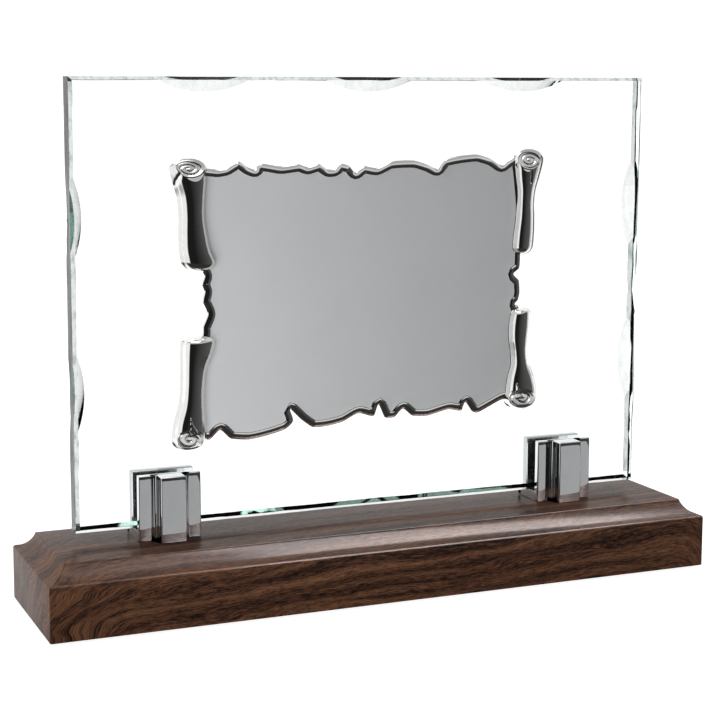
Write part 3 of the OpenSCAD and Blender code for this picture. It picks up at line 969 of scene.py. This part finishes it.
def roll_outline(spec):
    """Each row's height, middle, half width inside its rounded ends, and half width without them."""
    low, low_run = spec["low"]
    high, high_run = spec["high"]
    t = np.linspace(0, 1, ROLL_ROWS + 1)
    # rows crowd towards the rounded ends
    z = low + (high - low) * (t - 0.055 * np.sin(2 * math.pi * t))
    knots = np.array(spec["sides"])
    left = through_knots(z, knots[:, 0], knots[:, 1])
    right = through_knots(z, knots[:, 0], knots[:, 2])
    middle, full = (left + right) / 2, (right - left) / 2
    high_power, low_power = 2.0 if spec["disc"] == "top" else 2.6, 2.2
    past_high = np.clip((z - high + high_run) / high_run, 0, 1)
    past_low = np.clip((low + low_run - z) / low_run, 0, 1)
    cap_high = np.clip(1 - past_high ** high_power, 0, 1) ** (1 / high_power)
    cap_low = np.clip(1 - past_low ** low_power, 0, 1) ** (1 / low_power)
    return z, middle, np.maximum(full * cap_high * cap_low, 0.02), full


def marked(name, x, z, height):
    """Adds a roll's own mark: a slit in the two upper rolls, a pointed tongue on the lower ones."""
    if name == "upper_left":
        dx, dz = x + 62.2, z - 38.2
        across, along = dx * 0.96 - dz * 0.28, dx * 0.28 + dz * 0.96
        return height - 0.9 * bell(across, 0.42) * bell(along, 1.5)
    if name == "upper_right":
        return height - 0.6 * bell(x - 59.9, 0.24) * step_between(np.abs(z - 36.6), 2.4, 1.7)
    if name == "lower_left":
        mask, rise = tongue(x, z, (-59.4, -35.8), (-58.0, -41.0), 1.5, 0.5)
    else:
        mask, rise = tongue(x, z, (55.4, -32.2), (56.6, -37.2), 1.4, 0.5)
    return height + mask * rise


def roll_skin(x, z, height):
    """A closed skin from a grid of front points, with a flat back."""
    rows, columns = x.shape[0] - 1, x.shape[1] - 1
    bm = bmesh.new()
    front = [[bm.verts.new((SCROLL_X + x[j, i], SCROLL_BACK - height[j, i], SCROLL_Z + z[j, i]))
              for i in range(columns + 1)] for j in range(rows + 1)]
    back = [[None] * (columns + 1) for _ in range(rows + 1)]
    for j in range(rows + 1):
        for i in {0, columns} if 0 < j < rows else range(columns + 1):
            back[j][i] = bm.verts.new((SCROLL_X + x[j, i], SCROLL_BACK, SCROLL_Z + z[j, i]))
    for j in range(rows):
        for i in range(columns):
            bm.faces.new((front[j][i], front[j][i + 1], front[j + 1][i + 1], front[j + 1][i]))
        bm.faces.new((front[j][0], front[j + 1][0], back[j + 1][0], back[j][0]))
        bm.faces.new((front[j][-1], back[j][-1], back[j + 1][-1], front[j + 1][-1]))
        bm.faces.new((back[j][0], back[j + 1][0], back[j + 1][-1], back[j][-1]))
    for j in (0, rows):
        for i in range(columns):
            bm.faces.new((front[j][i], front[j][i + 1], back[j][i + 1], back[j][i]))
    return bm


def build_roll(name):
    spec = ROLLS[name]
    z_line, middle, half, full = (row[:, None] for row in roll_outline(spec))
    across = np.sin(np.linspace(-1, 1, ROLL_COLUMNS + 1) * math.pi / 2)
    x = middle + half * across[None, :]
    z = np.repeat(z_line, ROLL_COLUMNS + 1, 1)
    height = marked(name, x, z, roll_heights(spec, x, z, half, full, middle))
    height = np.clip(height, 0.3, SCROLL_HIGH.y - SCROLL_LOW.y + 0.6)
    bm = roll_skin(x, z, height)
    finish_mesh("roll_" + name, bm, [POLISHED], ROOT, ["scroll_plate"], 75)


def build_tape(name):
    low, high = box_mm("tape_" + name)
    gap = Vector((0, 0.02, 0))
    bm = soft_block(low + gap, high - gap, 0.3, 0.12)
    finish_mesh("tape_strip_" + name, bm, [TAPE], ROOT, ["tape_" + name], 40)


build_base()
build_felt()
for which in SIDES:
    build_clamp(which)
    build_pinch_screw(which)
    build_shoe(which)
    build_liners(which)
    build_base_fastener(which)
build_glass()
build_sheet()
for which in ROLLS:
    build_roll(which)
for which in ("upper", "lower"):
    build_tape(which)


# ---------------------------------------------------------------- camera
def build_camera():
    heading, pitch = math.radians(21.8), math.radians(7.53)
    data = bpy.data.cameras.new("camera")
    data.sensor_width = 36.0
    data.lens = 84.5
    data.shift_x, data.shift_y = 0.0695, -0.0629
    data.clip_start, data.clip_end = 0.01, 20.0
    camera = placed("camera", data)
    camera.location = (-0.2215, -0.5001, 0.1627)
    camera.rotation_euler = Euler((math.pi / 2 - pitch, 0, -heading), "XYZ")
    bpy.context.scene.camera = camera


# ---------------------------------------------------------------- floor, surroundings and lights
def build_floor():
    """A white floor that the camera sees and the polished metal doesn't mirror."""
    white, tree, shader = material("white_floor")
    fill(tree, shader, {
        "Base Color": (0.35, 0.35, 0.35, 1), "Roughness": 1.0, "Specular IOR Level": 0.0,
        "Emission Color": (1, 1, 1, 1), "Emission Strength": 0.92,
    })
    reach, level = 30, -0.00005
    corners = [(-reach, -reach, level), (reach, -reach, level), (reach, reach, level), (-reach, reach, level)]
    mesh = bpy.data.meshes.new("floor")
    mesh.from_pydata(corners, [], [(0, 1, 2, 3)])
    mesh.materials.append(white)
    floor = placed("floor", mesh)
    floor.visible_glossy = floor.visible_diffuse = floor.visible_shadow = False


def window(tree, value, low, high, soft):
    """1 between two angles in degrees, fading to 0 over a few degrees."""
    rise = node(tree, "MapRange", {0: value, 1: low - soft, 2: low + soft, 3: 0.0, 4: 1.0},
                interpolation_type="SMOOTHSTEP").outputs[0]
    fall = node(tree, "MapRange", {0: value, 1: high - soft, 2: high + soft, 3: 1.0, 4: 0.0},
                interpolation_type="SMOOTHSTEP").outputs[0]
    return times(tree, rise, fall)


def build_world():
    """White all round; polished metal also mirrors a darker studio in front of the plaque."""
    world = bpy.data.worlds.new("studio")
    bpy.context.scene.world = world
    world.use_nodes = True
    tree = world.node_tree
    tree.nodes.clear()
    ray = node(tree, "SeparateXYZ", {0: node(tree, "TexCoord").outputs["Generated"]})
    x, y, z = ray.outputs[0], ray.outputs[1], ray.outputs[2]
    degrees = 180 / math.pi
    heading = times(tree, math_node(tree, "ARCTAN2", x, times(tree, y, -1.0)), degrees)
    lift = times(tree, math_node(tree, "ARCSINE", z), degrees)
    level = window(tree, lift, -100, 30, 6)
    ceiling = window(tree, lift, 36, 100, 12)
    below = window(tree, lift, -110, -24, 6)
    dark = times(tree, window(tree, heading, -62, 92, 3), level)
    grey = times(tree, window(tree, heading, 92, 130, 5), level)
    shade = between(tree, heading, -20, 92, 0.012, 0.10)
    value = node(tree, "Mix", {0: ceiling, 2: 0.95, 3: 0.42}).outputs[0]
    value = node(tree, "Mix", {0: dark, 2: value, 3: shade}).outputs[0]
    value = node(tree, "Mix", {0: grey, 2: value, 3: 0.50}).outputs[0]
    value = node(tree, "Mix", {0: below, 2: value, 3: 0.03}).outputs[0]
    path = node(tree, "LightPath")
    # a ray that went through the glass counts as seen, not mirrored, unless it bounced about inside
    shallow = math_node(tree, "LESS_THAN", path.outputs["Ray Depth"], 4.5)
    through = times(tree, path.outputs["Is Transmission Ray"], shallow)
    seen = math_node(tree, "SUBTRACT", 1.0, through)
    mirrored = times(tree, path.outputs["Is Glossy Ray"], seen)
    softened = math_node(tree, "MULTIPLY_ADD", value, 0.62, 0.30)
    value = node(tree, "Mix", {0: path.outputs["Is Transmission Ray"], 2: value, 3: softened}).outputs[0]
    plain = node(tree, "Mix", {0: path.outputs["Is Camera Ray"], 2: 0.95, 3: 1.05}).outputs[0]
    clear = node(tree, "Mix", {0: path.outputs["Is Transmission Ray"], 2: plain, 3: 1.15}).outputs[0]
    strength = node(tree, "Mix", {0: mirrored, 2: clear, 3: value}).outputs[0]
    back = node(tree, "Background", {"Color": (1, 1, 1, 1), "Strength": strength})
    node(tree, "OutputWorld", {"Surface": back.outputs[0]})
    world.cycles.sampling_method = "NONE"


def area_light(name, place, size, power, aim=None, turn=(0, 0, 0), tint=(1, 1, 1), only=None, hide=()):
    """A rectangular lamp that faces down, unless it is aimed at a point or turned.

    It can be limited to one piece, and hidden from some kinds of ray.
    """
    data = bpy.data.lights.new(name, "AREA")
    data.shape = "RECTANGLE"
    data.size, data.size_y = size
    data.energy = power
    data.color = tint
    lamp = placed(name, data)
    lamp.location = place
    lamp.rotation_euler = turn
    if aim:
        lamp.rotation_euler = (Vector(aim) - Vector(place)).to_track_quat("-Z", "Y").to_euler()
    for ray in hide:
        setattr(lamp, "visible_" + ray, False)
    if only:
        group = bpy.data.collections.new(name)
        group.objects.link(bpy.data.objects[only])
        lamp.light_linking.receiver_collection = group


TABLE_X = {"left": -0.035, "right": 0.160}


def build_lights():
    """Soft light from above, and lamps that each light or are mirrored by one piece."""
    area_light("overhead", (-0.15, -0.25, 1.1), (0.9, 0.7), 3, aim=(0, 0, 0.07))
    area_light("left_fill", (-0.22, -0.19, 0.03), (0.20, 0.20), 4.0, aim=(-0.07, 0, 0.08),
               only="scroll_sheet", hide=["glossy"])
    area_light("moulding_light", (0.48, -0.70, 0.9), (0.52, 2.0), 100, tint=(1, 0.93, 0.92),
               only="wooden_base", hide=["diffuse"])
    area_light("end_light", (-1.1, 0.15, 0.30), (0.8, 0.8), 8, aim=(-0.13, 0, 0.02),
               only="wooden_base", hide=["glossy"])
    # a grey table top in front of each clamp, which only the clamp mirrors
    for side in SIDES:
        area_light("table_" + side, (TABLE_X[side], -0.175, -0.0002), (0.15, 0.20), 0.035,
                   turn=(math.pi, 0, 0), only=side + "_clamp", hide=["camera", "transmission", "diffuse"])


build_camera()
build_floor()
build_world()
build_lights()
bpy.context.scene.view_settings.view_transform = "Standard"
bpy.context.scene.view_settings.look = "None"
